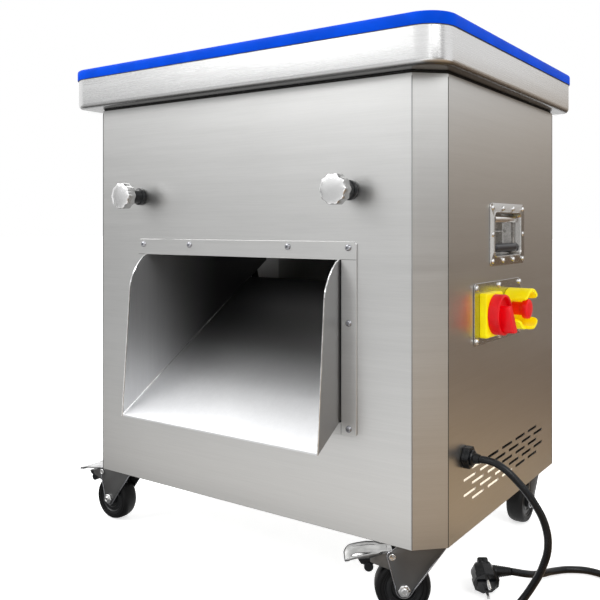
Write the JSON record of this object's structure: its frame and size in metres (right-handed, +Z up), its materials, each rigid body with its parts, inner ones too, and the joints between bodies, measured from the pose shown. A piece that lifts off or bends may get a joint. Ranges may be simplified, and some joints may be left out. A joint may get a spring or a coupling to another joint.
{
  "type": "industrial meat slicer",
  "caption": "Floor-standing stainless meat slicer: blue-rimmed feed tray over paired circular-knife shafts, sloped outlet chute, lift handles, isolator, emergency stop, castors, mains cord.",
  "frame": {"origin": "on the floor, under the middle of the cabinet", "axes": "+Z up, +X to the machine's right as seen from the front, +Y to its back"},
  "size_m": [0.9281, 0.6205, 0.7833],
  "materials": {
    "stainless": "brushed",
    "bright_steel": "polished",
    "zinc_plate": "zinc plated",
    "fork_steel": "satin",
    "wheel_hub": "satin",
    "wheel_tyre": "satin",
    "gear_steel": "machined",
    "motor_enamel": "enamelled",
    "belt_rubber": "matte",
    "blue_edging": "glossy",
    "pale_knob": "satin",
    "black_plastic": "satin",
    "black_cord": "satin",
    "yellow_plastic": "glossy",
    "red_plastic": "glossy"
  },
  "bodies": {
    "cabinet": {"base_pan": "stainless", "front_panel": "stainless", "rear_panel": "stainless", "left_panel": "stainless", "right_panel": "stainless", "top_plate": "stainless", "feed_tray": "stainless", "tray_edging": "blue_edging", "feed_throat": "stainless", "chute": "stainless", "chute_flange": "stainless", "knife_box": "stainless", "rail_left": "stainless", "rail_right": "stainless", "scraper_comb_front": "bright_steel", "scraper_comb_rear": "bright_steel", "motor": "motor_enamel", "drive_belt": "belt_rubber", "handle_dish_left": "bright_steel", "handle_dish_right": "bright_steel", "switch_plate": "bright_steel", "isolator_base": "yellow_plastic", "estop_guard": "yellow_plastic", "cable_gland": "black_plastic", "cord_machine_end": "black_cord", "cord_plug_end": "black_cord", "cord_coil": "black_cord", "plug": "black_cord", "castor_plate_front_left": "zinc_plate", "castor_plate_front_right": "zinc_plate", "castor_plate_rear_left": "zinc_plate", "castor_plate_rear_right": "zinc_plate"},
    "castor_front_left": {"fork_front_left": "fork_steel"},
    "wheel_front_left": {"hub_front_left": "wheel_hub", "tyre_front_left": "wheel_tyre"},
    "castor_front_right": {"fork_front_right": "fork_steel"},
    "wheel_front_right": {"hub_front_right": "wheel_hub", "tyre_front_right": "wheel_tyre"},
    "castor_rear_left": {"fork_rear_left": "fork_steel"},
    "wheel_rear_left": {"hub_rear_left": "wheel_hub", "tyre_rear_left": "wheel_tyre"},
    "castor_rear_right": {"fork_rear_right": "fork_steel"},
    "wheel_rear_right": {"hub_rear_right": "wheel_hub", "tyre_rear_right": "wheel_tyre"},
    "brake_left": {"brake_pedal_front_left": "zinc_plate"},
    "knob_thread_left": {"knob_collar_left": "black_plastic"},
    "knob_left": {"star_knob_left": "pale_knob"},
    "brake_right": {"brake_pedal_front_right": "zinc_plate"},
    "knob_thread_right": {"knob_collar_right": "black_plastic"},
    "knob_right": {"star_knob_right": "pale_knob"},
    "grip_left": {"lift_handle_left": "bright_steel"},
    "grip_right": {"lift_handle_right": "bright_steel"},
    "isolator": {"isolator_handle": "red_plastic"},
    "estop": {"estop_button": "red_plastic"},
    "knife_front": {"knife_shaft_front": "bright_steel", "gear_front": "gear_steel"},
    "knife_rear": {"knife_shaft_rear": "bright_steel", "gear_rear": "gear_steel", "driven_pulley": "gear_steel"},
    "motor_rotor": {"motor_pulley": "gear_steel"}
  },
  "joints": [
    {"name": "castor_swivel_front_left", "type": "hinge", "parent": "cabinet", "child": "castor_front_left", "pos_m": [-0.285, -0.209, 0.09], "axis": [0, 0, 1], "continuous": true},
    {"name": "wheel_spin_front_left", "type": "hinge", "parent": "castor_front_left", "child": "wheel_front_left", "pos_m": [-0.309, -0.209, 0.0375], "axis": [0, 1, 0], "continuous": true},
    {"name": "castor_swivel_front_right", "type": "hinge", "parent": "cabinet", "child": "castor_front_right", "pos_m": [0.285, -0.209, 0.09], "axis": [0, 0, 1], "continuous": true},
    {"name": "wheel_spin_front_right", "type": "hinge", "parent": "castor_front_right", "child": "wheel_front_right", "pos_m": [0.26534, -0.22277, 0.0375], "axis": [-0.5736, 0.8192, 0], "continuous": true},
    {"name": "castor_swivel_rear_left", "type": "hinge", "parent": "cabinet", "child": "castor_rear_left", "pos_m": [-0.285, 0.209, 0.09], "axis": [0, 0, 1], "continuous": true},
    {"name": "wheel_spin_rear_left", "type": "hinge", "parent": "castor_rear_left", "child": "wheel_rear_left", "pos_m": [-0.285, 0.185, 0.0375], "axis": [1, 0, 0], "continuous": true},
    {"name": "castor_swivel_rear_right", "type": "hinge", "parent": "cabinet", "child": "castor_rear_right", "pos_m": [0.285, 0.209, 0.09], "axis": [0, 0, 1], "continuous": true},
    {"name": "wheel_spin_rear_right", "type": "hinge", "parent": "castor_rear_right", "child": "wheel_rear_right", "pos_m": [0.285, 0.185, 0.0375], "axis": [1, 0, 0], "continuous": true},
    {"name": "brake_tread_left", "type": "hinge", "parent": "castor_front_left", "child": "brake_left", "pos_m": [-0.325, -0.209, 0.082], "axis": [0, -1, 0], "range_deg": [0, 15]},
    {"name": "brake_tread_right", "type": "hinge", "parent": "castor_front_right", "child": "brake_right", "pos_m": [0.25223, -0.23194, 0.082], "axis": [0.5736, -0.8192, 0], "range_deg": [0, 15]},
    {"name": "knob_advance_left", "type": "slide", "parent": "cabinet", "child": "knob_thread_left", "axis": [0, -1, 0], "range_m": [0, 0.005]},
    {"name": "knob_turn_left", "type": "hinge", "parent": "knob_thread_left", "child": "knob_left", "pos_m": [-0.202, -0.253, 0.565], "axis": [0, -1, 0], "range_deg": [0, 1440]},
    {"name": "grip_fold_left", "type": "hinge", "parent": "cabinet", "child": "grip_left", "pos_m": [-0.3235, -0.004, 0.5267], "axis": [0, 1, 0], "range_deg": [0, 90], "stiffness_Nm_per_rad": 0.05},
    {"name": "knob_advance_right", "type": "slide", "parent": "cabinet", "child": "knob_thread_right", "axis": [0, -1, 0], "range_m": [0, 0.005]},
    {"name": "knob_turn_right", "type": "hinge", "parent": "knob_thread_right", "child": "knob_right", "pos_m": [0.202, -0.253, 0.565], "axis": [0, -1, 0], "range_deg": [0, 1440]},
    {"name": "grip_fold_right", "type": "hinge", "parent": "cabinet", "child": "grip_right", "pos_m": [0.3235, -0.004, 0.5267], "axis": [0, -1, 0], "range_deg": [0, 90], "stiffness_Nm_per_rad": 0.05},
    {"name": "isolator_turn", "type": "hinge", "parent": "cabinet", "child": "isolator", "pos_m": [0.3419, -0.0855, 0.3905], "axis": [1, 0, 0], "range_deg": [0, 90]},
    {"name": "estop_press", "type": "slide", "parent": "cabinet", "child": "estop", "axis": [-1, 0, 0], "range_m": [0, 0.0045]},
    {"name": "knife_spin_rear", "type": "hinge", "parent": "cabinet", "child": "knife_rear", "pos_m": [0, -0.016, 0.532], "axis": [1, 0, 0], "continuous": true},
    {"name": "knife_spin_front", "type": "hinge", "parent": "cabinet", "child": "knife_front", "pos_m": [0, -0.104, 0.532], "axis": [1, 0, 0], "continuous": true},
    {"name": "motor_spin", "type": "hinge", "parent": "cabinet", "child": "motor_rotor", "pos_m": [-0.222, 0.12, 0.1788], "axis": [1, 0, 0], "continuous": true}
  ],
  "couplings": [
    {"joint": "knob_turn_left", "follows": "knob_advance_left", "rad_per_m": 5026.5},
    {"joint": "knob_turn_right", "follows": "knob_advance_right", "rad_per_m": 5026.5},
    {"joint": "knife_spin_front", "follows": "knife_spin_rear", "ratio": -1},
    {"joint": "motor_spin", "follows": "knife_spin_rear", "ratio": 2.619}
  ]
}
